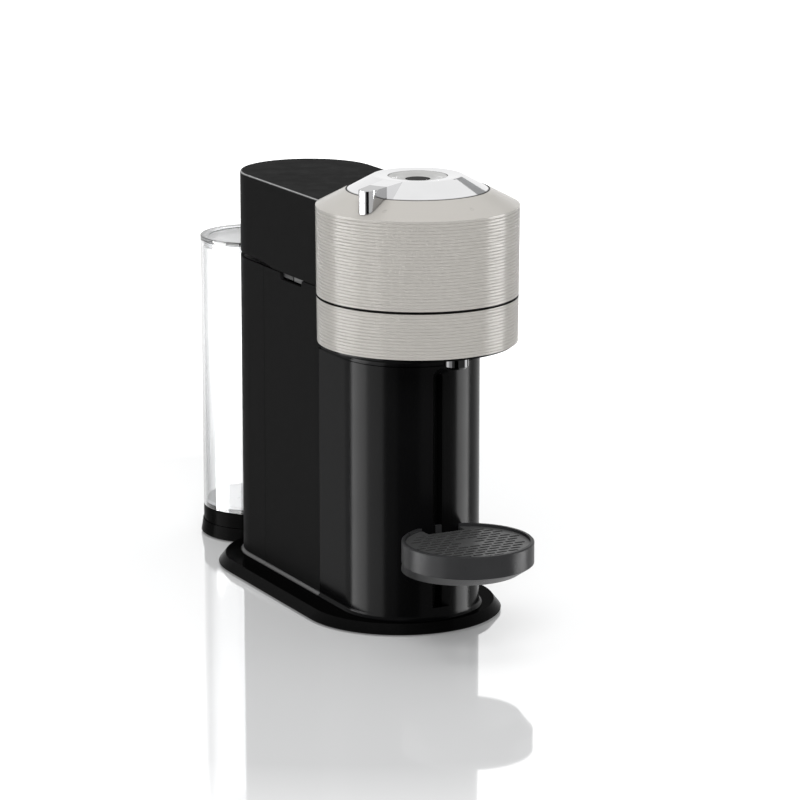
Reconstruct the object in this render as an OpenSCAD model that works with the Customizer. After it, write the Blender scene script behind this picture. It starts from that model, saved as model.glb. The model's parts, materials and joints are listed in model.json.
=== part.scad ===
// Pod coffee machine. Millimetres, Z up, front towards -Y, origin under the middle of the outline.

/* [Base] */
// widest width of the base foot
base_w = 142; // [130:1:165]
// top of the base foot above the table
base_top = 8.2; // [7.5:0.1:10]
// how far the base side leans in from bottom to top
base_lean = 5; // [2:0.5:7]
// base foot ahead of the front column
base_toe = 9.1; // [6:0.1:14]
// base foot behind the rear shell
base_heel = 14; // [8:0.1:17]
// clearance under the base foot
foot_h = 1.2; // [0.8:0.1:2]
// width of one rubber foot
foot_w = 16; // [12:1:20]

/* [Body] */
// width of the lower body
body_w = 98.8; // [84:0.2:120]
// straight run of the body between its round ends
body_run = 157.7; // [140:0.1:190]
// top of the lower body
body_top = 230; // [220:1:260]
// wall thickness of the housings
wall = 2.4; // [1.8:0.1:3]
// gap between parts that are only put together
gap = 0.3; // [0.2:0.05:0.5]
// seam between column and side panels, behind the column's round end
seam_run = 40.5; // [38:0.5:50]
// length of the side panels
panel_run = 89; // [70:1:100]
// how far the foot flange of the body stands out
flange_out = 2.2; // [1.2:0.1:3]
// height over which the flange runs out into the wall
flange_h = 3.4; // [2:0.1:3.6]

/* [Column and slot] */
// width of the slot's mouth in the column
slot_w = 14; // [12:0.5:18]
// width of the slot behind its sloped sides
throat_w = 5.3; // [4.6:0.1:7]
// depth of the slot
slot_d = 12; // [9:0.5:14]
// bottom of the slot above the table
slot_z = 17; // [15:1:25]

/* [Head] */
// width of the ringed head
head_w = 139.8; // [124:0.2:160]
// distance of the head's front ahead of the column
head_over = 34; // [26:0.5:40]
// height of the fixed lower ringed band
band_h = 31.4; // [26:0.2:36]
// height of the ringed wall of the head shell
shell_h = 61.3; // [50:0.1:72]
// how much the ringed wall draws in towards the bottom, on the radius
ring_taper = 0.4; // [0:0.1:1]
// spacing of the rings
ring_pitch = 2.2; // [1.6:0.1:3]
// depth of the grooves between rings
ring_depth = 0.35; // [0.2:0.05:0.6]
// width of the grooves between rings
ring_cut = 0.9; // [0.5:0.1:1.2]
// visible gap between head and band
head_gap = 1.4; // [1:0.1:2]
// rounding of the cover's top edge
cover_round = 1.5; // [1:0.5:4]
// height of the rear cover's top above the lower body
cover_h = 61.9; // [52:0.1:72]
// how much the cover's lower edge lifts towards the rear
cover_lift = 3.4; // [2.8:0.1:5]

/* [Dome, lever and button] */
// width of the dome where it meets the shell
dome_w = 96.6; // [84:0.2:108]
// width of the dome's flat top
dome_flat_w = 61.2; // [54:0.2:70]
// gap between the dome and the shoulder round it
dome_gap = 0.7; // [0.3:0.1:1]
// height of the sloped shoulder of the shell
shoulder_h = 10.9; // [8:0.1:14]
// height of the dome's sloped side
dome_h = 9.5; // [7:0.1:12]
// reach of the lever tip from the head's axis
lever_reach = 66.5; // [60:0.5:67]
// width of the lever at its tip
lever_w = 12; // [8:0.5:14]
// how much wider the lever is at the dome
lever_flare = 4; // [0:0.5:6]
// locked position of the lever, from straight ahead towards -X
lever_angle = 61.2; // [40:0.1:80]
// width of the button ring
button_w = 40.6; // [34:0.2:46]
// width of the lens in the button
lens_w = 16.8; // [12:0.2:22]

/* [Brewing] */
// width of the flare that carries the column out to the head
flare_w = 17; // [12:0.5:17]
// height of that flare
flare_h = 8.5; // [6:0.1:8.5]
// width of the pod's rim
pod_w = 60; // [54:0.5:62]
// inside depth of the rotor cup
pod_depth = 24; // [18:0.5:25]
// width of the spout
spout_w = 16.5; // [15:0.5:19]
// bore of the spout
spout_bore = 7; // [5:0.5:9]
// rotor pulley width
rotor_pulley_w = 40; // [32:0.5:46]
// motor pulley width
motor_pulley_w = 16; // [12:0.5:20]
// distance from rotor axis to motor axis
motor_run = 95; // [88:0.5:104]
// motor width
motor_w = 42; // [34:1:50]

/* [Cup support] */
// width of the round support
support_w = 90.2; // [80:0.2:100]
// reach of the support's front from the column
support_reach = 83.4; // [74:0.2:94]
// height of the support's band
support_h = 15; // [12:0.5:18]
// bottom of the support's band above the table
support_z = 59.5; // [50:0.5:70]
// how far the dish under the band hangs below it
bracket_h = 8; // [6:0.5:11]
// width of the dish under the band
bracket_w = 82; // [60:1:84]
// thickness of the support's rim
rim_t = 2.6; // [2:0.1:4]

/* [Water tank] */
// width of the tank wall
tank_w = 82; // [76:0.5:95]
// top of the tank lid above the table
tank_top = 229.7; // [210:0.1:245]
// thickness of the tank wall
tank_t = 2; // [1.6:0.1:2.6]
// gap between rear shell and tank
tank_gap = 1.4; // [1.2:0.1:4]
// height of the dark ring round the tank's foot
tank_ring_h = 11; // [8:0.1:14]

/* [Hidden] */
$fn = 96;
eps = 0.01;
run_fit = 0.05;
r_base = base_w / 2;
r_body = body_w / 2;
r_in = r_body - wall;
r_head = head_w / 2;
r_dome = dome_w / 2;
r_sup = support_w / 2;
r_tank = tank_w / 2;
// column front, body end centres and body rear, with the head's axis at zero
y_col = head_over - r_head;
y_bf = y_col + r_body;
y_br = y_bf + body_run;
y_rear = y_br + r_body;
y_seam = y_bf + seam_run;
y_seam_rear = y_seam + panel_run;
y_cheek = sqrt(pow(r_head + gap, 2) - pow(r_body, 2));
y_base_f = y_col - base_toe + r_base;
y_base_r = y_rear + base_heel - r_base;
y_tank = y_rear + tank_gap + r_tank;
y_sup = y_col - support_reach + r_sup;
stand_flare = 2;
z_tank = 11.5;
z_tank_floor = z_tank + tank_ring_h + 3;
lid_t = 2.7;
lid_lip = 0.3;
lid_plug_h = 5;
bead_h = 3.5;
y_front_end = y_sup - r_sup;
y_back_end = y_tank + r_tank + stand_flare;
y_shift = -(y_front_end + y_back_end) / 2;
// levels of the head
z_band = body_top + 0.9;
z_band_low = z_band - band_h;
z_shell = z_band + head_gap;
z_shoulder = z_shell + shell_h;
z_dome = z_shoulder + shoulder_h;
z_top = z_dome + dome_h;
z_cover = body_top + cover_h;
r_low = r_head - ring_taper;
r_shell_in = r_low - wall;
r_throat = r_dome + dome_gap;
// levels of the body
z_foot = base_top + gap;
z_sill = z_band_low - 11.6;
z_bin = z_sill - 0.5;
z_deck = z_sill + 0.5;
deck_t = 3;
// hinge of the head
hinge_r = 2.4;
ear_r = 3.8;
y_hinge = y_rear - 17.1;
z_hinge = z_cover - ear_r - wall - 0.2;
// turning cup and what is round it
pod_r = pod_w / 2;
cup_r = pod_r + 3.5;
cup_rim_r = cup_r + 2;
z_cup_rim = body_top - 1.5;
z_cup_low = z_cup_rim - pod_depth - 2;
axle_r = 8;
clamp_axle_r = 6;
spout_in = 4.8;
y_spout = -(r_head - spout_w / 2 - spout_in);
trough_r = r_low - wall - gap - 2.4;
// inside the body
pump_x = -14;
bulk_t = 2.4;
y_bulk_rear = y_seam_rear - 4;
pump_mount_r = 20;
pump_y = y_bulk_rear + bulk_t + gap + pump_mount_r;
y_meter = y_br + 24;
inlet_r = 1.6;
inlet_z = 3.6;
arm_x = 20;
arm_t = 5;
ear_t = 4.4;
z_hub = z_dome - 20;

module placed() {
    translate([0, y_shift, 0]) children();
}

module slot_2d(r, y_front, y_back) {
    translate([0, y_front]) circle(r);
    translate([0, y_back]) circle(r);
    translate([-r, y_front]) square([2 * r, y_back - y_front]);
}

module slot_solid(r, y_front, y_back, z_low, z_high) {
    translate([0, 0, z_low])
        linear_extrude(height = z_high - z_low) slot_2d(r, y_front, y_back);
}

module slot_tube(r, t, y_front, y_back, z_low, z_high) {
    difference() {
        slot_solid(r, y_front, y_back, z_low, z_high);
        slot_solid(r - t, y_front, y_back, z_low - 1, z_high + 1);
    }
}

// sweeps a half profile round both ends and along the run between them
module slot_sweep(y_front, y_back) {
    translate([0, y_front, 0]) rotate_extrude() children();
    translate([0, y_back, 0]) rotate_extrude() children();
    translate([0, y_back, 0]) rotate([90, 0, 0]) linear_extrude(height = y_back - y_front) {
        children();
        mirror([1, 0]) children();
    }
}

module tube(r_out, r_inner, z_low, z_high) {
    difference() {
        translate([0, 0, z_low]) cylinder(r = r_out, h = z_high - z_low);
        translate([0, 0, z_low - 1]) cylinder(r = r_inner, h = z_high - z_low + 2);
    }
}

module post(r, z_low, z_high) {
    translate([0, 0, z_low]) cylinder(r = r, h = z_high - z_low);
}

// outline of a wall's foot that curves out into a flange, from the inner radius out
module flange_2d(r_inner, r) {
    polygon(concat(
        [[r_inner, z_foot], [r + flange_out, z_foot]],
        [for (a = [0:15:90])
            [r + flange_out * (1 - sin(a)), z_foot + 0.3 + (flange_h - 0.3) * (1 - cos(a))]],
        [[r_inner, z_foot + flange_h]]
    ));
}

// block from corner to corner
module block(low, high) {
    translate(low) cube(high - low);
}

// flat profile drawn in Y and Z, given thickness from x_low to x_high
module side_plate(x_low, x_high) {
    translate([x_low, 0, 0]) rotate([90, 0, 90]) linear_extrude(height = x_high - x_low)
        children();
}

module base_profile() {
    polygon([
        [0, foot_h], [r_base - 0.8, foot_h], [r_base, foot_h + 0.8],
        [r_base - base_lean, base_top], [0, base_top],
    ]);
}

module base_plate() {
    skin = 2.6;
    rib = 2;
    color([0.05, 0.05, 0.055]) difference() {
        union() {
            difference() {
                slot_sweep(y_base_f, y_base_r) base_profile();
                slot_solid(r_base - base_lean - skin, y_base_f, y_base_r, 0, base_top - skin);
            }
            for (y = [y_base_f, (y_base_f + y_base_r) / 2, y_base_r])
                block([-r_base + base_lean + rib, y - rib / 2, foot_h],
                    [r_base - base_lean - rib, y + rib / 2, base_top - skin + 0.5]);
            for (at = foot_spots()) translate([at[0], at[1], 0])
                post(foot_w / 2 + rib, foot_h, base_top - skin + 0.5);
        }
        for (at = foot_spots()) translate([at[0], at[1], 0]) post(foot_w / 2 + gap, 0, foot_h + 2);
        for (at = screw_spots()) translate([at[0], at[1], 0]) post(1.8, 0, base_top + 1);
        translate([0, y_meter, inlet_z]) rotate([-90, 0, 0])
            cylinder(r = inlet_r + 0.2, h = y_base_r + r_base - y_meter + 1);
        translate([0, y_meter, 0]) post(inlet_r + 1, 1, base_top + 1);
        for (k = [-3:3]) translate([0, (y_base_f + y_base_r) / 2 + 12 * k + 6, 0])
            block([-18, -1.5, base_top - skin - 1], [18, 1.5, base_top + 1]);
    }
}

function foot_spots() = [
    [0, y_base_f - r_base + 18],
    [-r_base + 20, y_base_f + 18], [r_base - 20, y_base_f + 18],
    [-r_base + 20, y_base_r - 6], [r_base - 20, y_base_r - 6],
];

function screw_spots() = [
    for (s = [-1, 1]) for (y = [y_seam + 14, y_seam_rear - 10, y_br + 12])
        [s * (r_in - 12), y]
];

module foot(k) {
    at = foot_spots()[k];
    color([0.12, 0.12, 0.12]) translate([at[0], at[1], 0]) {
        post(foot_w / 2 - 1, 0, 1);
        post(foot_w / 2, 0.6, foot_h + 1.8);
    }
}

module foot_tank() {
    color([0.12, 0.12, 0.12]) translate([0, y_tank + r_tank - 18, 0]) {
        post(foot_w / 2 - 1, 0, 1);
        post(foot_w / 2, 0.6, foot_h + 1.8);
    }
}

module base_screws() {
    color([0.75, 0.75, 0.77]) for (at = screw_spots()) translate([at[0], at[1], 0]) {
        difference() {
            post(3.2, base_top - 4.7, base_top - 2.8);
            block([-2.2, -0.4, base_top - 5], [2.2, 0.4, base_top - 3.9]);
        }
        post(1.5, base_top - 3, z_foot + 1.6);
    }
}

// floor, two bulkheads and the deck that carries the turning parts
module chassis() {
    floor_t = 2.4;
    y_bulk = y_seam + 2;
    y_mid = y_bulk_rear;
    color([0.16, 0.16, 0.17]) difference() {
        union() {
            intersection() {
                slot_solid(r_in - gap, y_bf, y_br, z_foot, z_deck + deck_t);
                union() {
                    block([-r_body, y_bulk, z_foot], [r_body, y_rear, z_foot + floor_t]);
                    block([-r_body, y_bulk, z_foot], [r_body, y_bulk + bulk_t, z_deck + 1]);
                    block([-r_body, y_mid, z_foot], [r_body, y_mid + bulk_t, z_deck + 1]);
                    block([-r_body, y_col, z_deck], [r_body, y_mid + bulk_t, z_deck + deck_t]);
                    for (s = [-1, 1])
                        block([s * (r_in - 8) - 1.2, y_mid, z_foot],
                            [s * (r_in - 8) + 1.2, y_br + 16, z_foot + 12]);
                }
            }
            post(axle_r + 7, z_deck + deck_t - 1, z_deck + deck_t + 1.2);
        }
        post(axle_r + 5 + gap / 2, z_deck - 1, z_deck + deck_t + 2);
        translate([0, motor_run, 0]) post(motor_pulley_w / 2 + 2, z_deck - 1, z_deck + deck_t + 1);
        // way through the bulkhead for wires and tubes
        block([-24, y_mid - 1, z_foot + 60], [24, y_mid + 4, z_deck - 30]);
        for (at = screw_spots()) translate([at[0], at[1], 0]) post(1.55, 0, z_foot + floor_t + 1);
        translate([pump_x, pump_y, 0]) post(5, 0, z_foot + floor_t + 1);
        translate([0, y_meter, 0]) post(inlet_r + 1, 0, z_foot + floor_t + 1);
    }
}

module column_bin() {
    z_low = z_foot;
    floor_t = 2.4;
    r_chan = slot_w / 2;
    r_throat_slot = throat_w / 2;
    bevel = r_chan - r_throat_slot;
    z_roof = z_bin - r_chan - 1.5;
    ahead = flange_out + 1;
    color([0.02, 0.02, 0.022]) difference() {
        union() {
            difference() {
                union() {
                    slot_solid(r_body, y_bf, y_seam, z_low, z_bin);
                    slot_sweep(y_bf, y_seam) flange_2d(0, r_body);
                }
                slot_solid(r_in, y_bf, y_seam, z_low + floor_t, z_bin + 1);
                block([-r_base, y_seam - gap, 0], [r_base, y_rear, z_bin + 1]);
            }
            // rear wall of the bin
            block([-r_body, y_seam - gap - wall, z_low], [r_body, y_seam - gap, z_bin]);
            // walls of the slot
            intersection() {
                translate([0, 0, slot_z - wall]) linear_extrude(height = z_bin - slot_z + wall)
                    polygon([for (s = [-1, 1]) for (q = s < 0 ? [0:2] : [2:-1:0])
                        [s * ((q == 0 ? r_chan : r_throat_slot) + wall),
                            y_col + (q == 0 ? 0 : q == 1 ? bevel : slot_d + wall)]]);
                slot_solid(r_body, y_bf, y_seam, z_low, z_bin);
            }
        }
        block([-r_throat_slot, y_col - ahead, slot_z], [r_throat_slot, y_col + slot_d, z_roof]);
        translate([0, y_col + slot_d, z_roof]) rotate([90, 0, 0])
            cylinder(r = r_throat_slot, h = slot_d);
        // sloped sides of the mouth
        translate([0, 0, slot_z]) linear_extrude(height = z_roof - slot_z) polygon([
            [-r_chan - ahead, y_col - ahead], [r_chan + ahead, y_col - ahead],
            [r_throat_slot, y_col + bevel], [-r_throat_slot, y_col + bevel],
        ]);
        translate([0, y_col + bevel, z_roof]) rotate([90, 0, 0])
            cylinder(r1 = r_throat_slot, r2 = r_chan + ahead, h = bevel + ahead);
    }
}

module panel_outline() {
    notch_a = y_seam + 26.5;
    notch_b = notch_a + 36;
    notch_z = body_top - 4.5;
    polygon([
        [y_seam, z_foot], [y_seam_rear, z_foot], [y_seam_rear, body_top],
        [notch_b, body_top], [notch_b - 2, notch_z], [notch_a + 1, notch_z], [notch_a, body_top],
        [y_cheek, body_top], [y_cheek, z_sill + 0.4], [y_seam, z_sill + 0.4],
    ]);
}

module side_panel(s) {
    x_mid = s * (r_body - wall / 2);
    color([0.03, 0.03, 0.033]) difference() {
        union() {
            side_plate(x_mid - wall / 2, x_mid + wall / 2) panel_outline();
            translate([0, y_seam_rear, 0]) rotate([90, 0, 0]) linear_extrude(height = panel_run)
                mirror([s < 0 ? 1 : 0, 0]) flange_2d(r_in, r_body);
        }
        post(r_head + gap, z_sill, body_top + 1);
    }
}

module rear_shell() {
    color([0.03, 0.03, 0.033]) intersection() {
        union() {
            slot_tube(r_body, wall, y_bf, y_br, z_foot, body_top);
            difference() {
                slot_sweep(y_bf, y_br) flange_2d(0, r_body);
                slot_solid(r_in, y_bf, y_br, 0, z_foot + flange_h + 1);
            }
        }
        difference() {
            block([-r_base, y_seam_rear + gap, 0], [r_base, y_rear + 5, body_top + 1]);
            gland_hole();
        }
    }
}

// the cord's way in, low on the right side near the rear
module gland_hole() {
    translate([r_body - 6, y_br - 8, z_foot + 18]) rotate([0, 90, 0]) cylinder(r = 5.3, h = 12);
}

module cord_gland() {
    color([0.1, 0.1, 0.1]) translate([r_body - wall, y_br - 8, z_foot + 18]) rotate([0, 90, 0])
        difference() {
            union() {
                translate([0, 0, -3]) cylinder(r = 7, h = 3 - gap);
                translate([0, 0, -1]) cylinder(r = 5, h = wall + 2);
                translate([0, 0, wall + gap]) cylinder(r1 = 7, r2 = 4.6, h = 7);
            }
            translate([0, 0, -4]) cylinder(r = 3.2, h = wall + 14);
        }
}

module body_deck() {
    t = 2.6;
    color([0.09, 0.09, 0.095]) difference() {
        intersection() {
            slot_solid(r_in - gap, y_bf, y_br, body_top - t - 0.6, body_top - 0.6);
            block([-r_body, y_cheek - 8, 0], [r_body, y_rear, body_top]);
        }
        post(r_head + gap, body_top - 2 * t, body_top + 1);
        for (s = [-1, 1]) lug_block(s, 1.2);
    }
}

module hinge_arm_outline() {
    y_a = y_hinge - 45;
    y_b = y_hinge - 18;
    union() {
        translate([y_hinge, z_hinge]) circle(ear_r);
        polygon([
            [y_a, body_top - 0.3], [y_b, body_top - 0.3], [y_b, body_top + 3],
            [y_hinge + ear_r * 0.93, z_hinge - ear_r * 0.37],
            [y_hinge - ear_r * 0.8, z_hinge + ear_r * 0.6],
        ]);
    }
}

module hinge_bracket() {
    y_a = y_hinge - 45;
    y_b = y_hinge - 18;
    color([0.62, 0.62, 0.64]) {
        difference() {
            union() {
                for (s = [-1, 1]) side_plate(s * (arm_x + arm_t / 2) - arm_t / 2,
                    s * (arm_x + arm_t / 2) + arm_t / 2) hinge_arm_outline();
                block([-arm_x - arm_t, y_a, body_top - 0.3], [arm_x + arm_t, y_b, body_top + 2]);
            }
            translate([-r_body, y_hinge, z_hinge]) rotate([0, 90, 0])
                cylinder(r = hinge_r + 0.02, h = body_w);
        }
    }
}

module hinge_pin() {
    color([0.8, 0.8, 0.82]) translate([-arm_x - arm_t, y_hinge, z_hinge]) rotate([0, 90, 0])
        cylinder(r = hinge_r, h = 2 * (arm_x + arm_t));
}

// outer line of a ringed wall between two levels, from low to high
function ring_line(z_low, z_high, r_a, r_b) =
    let (n = floor((z_high - z_low) / ring_pitch + 0.01))
    let (lead = (z_high - z_low - n * ring_pitch) / 2)
    concat([[r_a, z_low]], [
        for (k = [0:n - 1]) for (part = [0:2])
            let (z = z_low + lead + ring_pitch * (k + 0.5) + ring_cut * (part - 1) / 2)
            [r_a + (r_b - r_a) * (z - z_low) / (z_high - z_low) - (part == 1 ? ring_depth : 0), z]
    ], [[r_b, z_high]]);

module lower_band() {
    r_in_band = r_low - ring_taper - wall;
    color([0.66, 0.64, 0.61]) difference() {
        rotate_extrude() polygon(concat(
            [[r_in_band, z_band_low]],
            ring_line(z_band_low, z_band, r_low - ring_taper, r_low - 0.1),
            [[r_in_band, z_band]]
        ));
        // window to the rear, inside the body
        block([-r_in + 3, 0, z_band_low - 1], [r_in - 3, r_head + 5, z_band + 1]);
    }
}

module collar() {
    z_flare = z_sill + 1.1;
    r_plate = r_low - ring_taper - wall - gap;
    color([0.025, 0.025, 0.027]) difference() {
        union() {
            intersection() {
                slot_sweep(y_bf, y_seam) polygon(concat(
                    [[r_in, z_sill], [r_body, z_sill]],
                    [for (a = [0:9:90])
                        [r_body + flare_w * (1 - cos(a)), z_flare + flare_h * sin(a)]],
                    [[r_body + flare_w, z_flare + flare_h + 1.2], [r_in, z_flare + flare_h + 1.2]]
                ));
                union() {
                    post(r_plate, z_sill - 1, z_band);
                    slot_solid(r_body, y_bf, y_seam, z_sill, z_band);
                }
                block([-r_base, -r_head, 0], [r_base, y_cheek, z_band]);
            }
            intersection() {
                post(r_plate, z_band_low - 2, z_band_low + 0.6);
                block([-r_base, -r_head, 0], [r_base, y_cheek, z_band]);
            }
        }
        slot_solid(r_in, y_bf, y_seam, z_sill - 1, z_band);
        translate([0, y_spout, 0]) {
            post(spout_w / 2 - 2 + gap, z_sill, z_band);
            post(spout_w / 2 + gap, z_sill, z_band_low - 2);
        }
    }
}

module square_at(x_low, y_low, x_high, y_high) {
    translate([x_low, y_low]) square([x_high - x_low, y_high - y_low]);
}

module spout() {
    r = spout_w / 2;
    z_low = z_sill + 2.5;
    z_seat = z_band_low - 2 - gap;
    color([0.82, 0.82, 0.83]) translate([0, y_spout, 0]) difference() {
        union() {
            translate([0, 0, z_low]) cylinder(r1 = r - 1.6, r2 = r, h = 1.6);
            post(r, z_low + 1.6 - eps, z_seat);
            post(r - 2, z_seat - eps, z_band_low + 1.4);
        }
        post(spout_bore / 2, z_low - 1, z_band_low + 3);
        translate([0, 0, z_low - eps]) cylinder(r1 = r - 2.8, r2 = spout_bore / 2, h = 2.4);
    }
}

// trough that catches the coffee round the turning cup and leads it to the spout
module collector() {
    r_a = cup_rim_r + 1;
    z_low = z_band_low + 1.8;
    color([0.14, 0.14, 0.15]) difference() {
        union() {
            difference() {
                post(trough_r, z_low, z_cup_rim - 2);
                post(trough_r - 2, z_low + 2, z_cup_rim);
            }
            tube(r_a + 2, r_a, z_low, z_cup_rim - 6);
        }
        post(r_a, z_low - 1, z_cup_rim);
        translate([0, y_spout, 0]) post(spout_bore / 2, z_low - 1, z_low + 3);
    }
}

module rim_plate() {
    r_out = r_low - ring_taper - wall - gap;
    color([0.07, 0.07, 0.075]) difference() {
        tube(r_out, cup_rim_r + 0.6, z_cup_rim - 1.4, z_cup_rim + 0.8);
        block([-r_base, y_cheek - 8, 0], [r_base, r_base, z_band]);
    }
}

module rotor() {
    z_pulley = z_deck + deck_t + 1.6;
    color([0.72, 0.72, 0.74]) difference() {
        union() {
            rotate_extrude() polygon([
                [0, z_cup_low], [cup_r - 3, z_cup_low], [cup_r, z_cup_rim - 3],
                [cup_rim_r, z_cup_rim - 3], [cup_rim_r, z_cup_rim],
                [pod_r, z_cup_rim], [pod_r - 3, z_cup_low + 2], [0, z_cup_low + 2],
            ]);
            post(rotor_pulley_w / 2, z_pulley, z_cup_low + 1);
            post(axle_r, z_deck + 0.4, z_pulley + 1);
        }
        tube(rotor_pulley_w / 2 + 1, rotor_pulley_w / 2 - 1.2, z_pulley + 1, z_pulley + 7);
        for (k = [0:5]) rotate([0, 0, 60 * k]) translate([pod_r - 9, 0, 0])
            post(1.5, z_cup_low - 1, z_cup_low + 3);
    }
}

module rotor_bearing() {
    color([0.8, 0.8, 0.82]) {
        difference() {
            post(axle_r + 5, z_deck + 0.2, z_deck + deck_t + 1.2);
            post(axle_r + run_fit, z_deck - 1, z_deck + deck_t + 2);
            tube(axle_r + 3.6, axle_r + 1.6, z_deck + deck_t + 0.6, z_deck + deck_t + 2);
        }
    }
}

// flat belt round two pulleys, built from two bent and two straight runs
module drive_belt() {
    z_low = z_deck + deck_t + 3;
    belt_h = 5;
    belt_t = 1;
    r_big = rotor_pulley_w / 2 - 1.1;
    r_small = motor_pulley_w / 2 - 1.1;
    lean = asin((r_big - r_small) / motor_run);
    color([0.05, 0.05, 0.05]) translate([0, 0, z_low]) {
        rotate([0, 0, 180 - lean]) rotate_extrude(angle = 180 + 2 * lean)
            square_at(r_big, 0, r_big + belt_t, belt_h);
        translate([0, motor_run, 0]) rotate([0, 0, lean]) rotate_extrude(angle = 180 - 2 * lean)
            square_at(r_small, 0, r_small + belt_t, belt_h);
        for (s = [0, 1]) mirror([s, 0, 0]) rotate([0, 0, lean])
            block([r_big, 0, 0], [r_big + belt_t, motor_run * cos(lean), belt_h]);
    }
}

module motor() {
    r = motor_w / 2;
    z_top_m = z_deck - gap;
    color([0.55, 0.55, 0.57]) translate([0, motor_run, 0]) difference() {
        union() {
            post(r, z_top_m - 34, z_top_m - 2);
            post(r - 3, z_top_m - 36, z_top_m - 33);
            post(r - 8, z_top_m - 3, z_top_m);
            for (a = [45:90:315]) rotate([0, 0, a]) translate([r - 4, 0, 0])
                post(2.6, z_top_m - 3, z_top_m);
        }
        post(2.4 + run_fit, z_top_m - 16, z_top_m + 1);
        for (a = [0:30:330]) rotate([0, 0, a]) translate([r - 9, 0, 0])
            block([-1, -3.2, z_top_m - 37], [1, 3.2, z_top_m - 35]);
    }
}

module motor_pulley() {
    z_pulley = z_deck + deck_t + 1.6;
    r = motor_pulley_w / 2;
    color([0.78, 0.72, 0.45]) translate([0, motor_run, 0]) difference() {
        union() {
            post(2.4, z_deck - 15, z_pulley + 1);
            post(r, z_pulley, z_pulley + 8);
        }
        tube(r + 1, r - 1.2, z_pulley + 1, z_pulley + 7);
    }
}

module pump_mount_low() {
    color([0.1, 0.1, 0.1]) translate([pump_x, pump_y, 0]) difference() {
        post(pump_mount_r, z_foot + 2.4 + gap, z_foot + 13);
        post(17 + 0.2, z_foot + 5, z_foot + 14);
        post(6, z_foot, z_foot + 14);
    }
}

module pump() {
    z = z_foot + 5.3;
    color([0.7, 0.68, 0.6]) translate([pump_x, pump_y, 0]) difference() {
        union() {
            post(4.4, z - 4, z + 2);
            post(17, z, z + 26);
            block([-15, -15, z + 26 - eps], [15, 15, z + 60]);
            post(13, z + 58, z + 68);
            post(8, z + 66, z + 80);
            post(4, z + 78, z + 88);
        }
        post(1.8, z - 5, z + 89);
        for (s = [-1, 1]) block([s * 15 - 2, -16, z + 34], [s * 15 + 2, 16, z + 52]);
    }
}

module pump_mount_top() {
    z = z_foot + 5.3 + 66;
    color([0.1, 0.1, 0.1]) difference() {
        union() {
            translate([pump_x, pump_y, 0]) post(12, z + 2.3, z + 8);
            block([pump_x - 5, y_seam_rear - 1.3, z + 2.3], [pump_x + 5, pump_y, z + 8]);
        }
        translate([pump_x, pump_y, 0]) post(8 + 0.1, z, z + 9);
    }
}

module heater_block() {
    y_a = y_seam + 4.4 + gap;
    x_h = 26;
    z_a = z_foot + 34;
    z_b = z_a + 86;
    color([0.74, 0.75, 0.77]) difference() {
        union() {
            for (z = [z_a + 8, z_b - 8]) for (x = [-x_h + 8, x_h - 8])
                translate([x, y_a, z]) rotate([-90, 0, 0]) cylinder(r = 4, h = 6);
            block([-x_h, y_a + 5, z_a], [x_h, y_a + 29, z_b]);
            for (x = [-14, 14]) translate([x, y_a + 17, 0]) post(4, z_a - 8, z_a + 1);
        }
        for (k = [0:6]) block([-x_h - 1, y_a + 23, z_a + 7 + 12 * k],
            [x_h + 1, y_a + 30, z_a + 11 + 12 * k]);
        for (x = [-14, 14]) translate([x, y_a + 17, 0]) post(1.8, z_a - 9, z_a + 30);
    }
}

module flow_meter() {
    z = z_foot + 2.4 + gap;
    color([0.85, 0.85, 0.82]) translate([0, y_meter, 0]) difference() {
        union() {
            post(13, z, z + 16);
            post(6, z + 15, z + 20);
            translate([10, 0, z + 9]) rotate([0, 90, 0]) cylinder(r = 3.4, h = 10);
        }
        translate([5, 0, z + 9]) rotate([0, 90, 0]) cylinder(r = 1.8, h = 16);
        post(9, z + 3, z + 13);
        post(inlet_r + 0.1, z - 1, z + 4);
    }
}

// run from under the tank to the flow meter, with upright ends
module tube_inlet() {
    color([0.9, 0.9, 0.88]) difference() {
        inlet_run(inlet_r, 0);
        inlet_run(inlet_r - 0.6, 1);
    }
}

module inlet_run(r, add) {
    z_meter = z_foot + 2.4 + gap + 2 + add;
    z_tank = base_top + 0.2 + add;
    translate([0, y_meter, inlet_z]) {
        sphere(r = r);
        cylinder(r = r, h = z_meter - inlet_z);
        rotate([-90, 0, 0]) cylinder(r = r, h = y_tank - y_meter);
    }
    translate([0, y_tank, inlet_z]) {
        sphere(r = r);
        cylinder(r = r, h = z_tank - inlet_z);
    }
}

module tube_pump() {
    z = z_foot + 5.3 + 88;
    color([0.9, 0.9, 0.88]) translate([pump_x, pump_y, 0]) difference() {
        post(5, z - 6, z + 30);
        post(4.1, z - 7, z + 0.5);
        post(3.2, z, z + 31);
    }
}

module tube_heater() {
    y_a = y_seam + 4.4 + gap + 17;
    z_a = z_foot + 34;
    color([0.9, 0.9, 0.88]) translate([14, y_a, 0]) difference() {
        post(5.2, z_foot + 2.7, z_a - 1);
        post(4.1, z_a - 8.3, z_a);
        post(3, z_foot, z_a);
    }
}

module control_board() {
    x = -r_in + 4.5;
    y_a = y_seam + 40;
    z_a = z_foot + 40;
    color([0.1, 0.35, 0.2]) union() {
        block([x, y_a, z_a], [x + 1.6, y_a + 40, z_a + 90]);
        for (y = [y_a + 4, y_a + 36]) for (z = [z_a + 4, z_a + 86])
            translate([-r_in + gap, y, z]) rotate([0, 90, 0]) cylinder(r = 2.4, h = 4.5);
        for (k = [0:2]) translate([x + 1.5, y_a + 9 + 11 * k, z_a + 18]) rotate([0, 90, 0])
            cylinder(r = 4, h = 12);
        block([x + 1.5, y_a + 6, z_a + 34], [x + 14, y_a + 26, z_a + 52]);
        block([x + 1.5, y_a + 8, z_a + 62], [x + 9, y_a + 32, z_a + 74]);
    }
}

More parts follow.
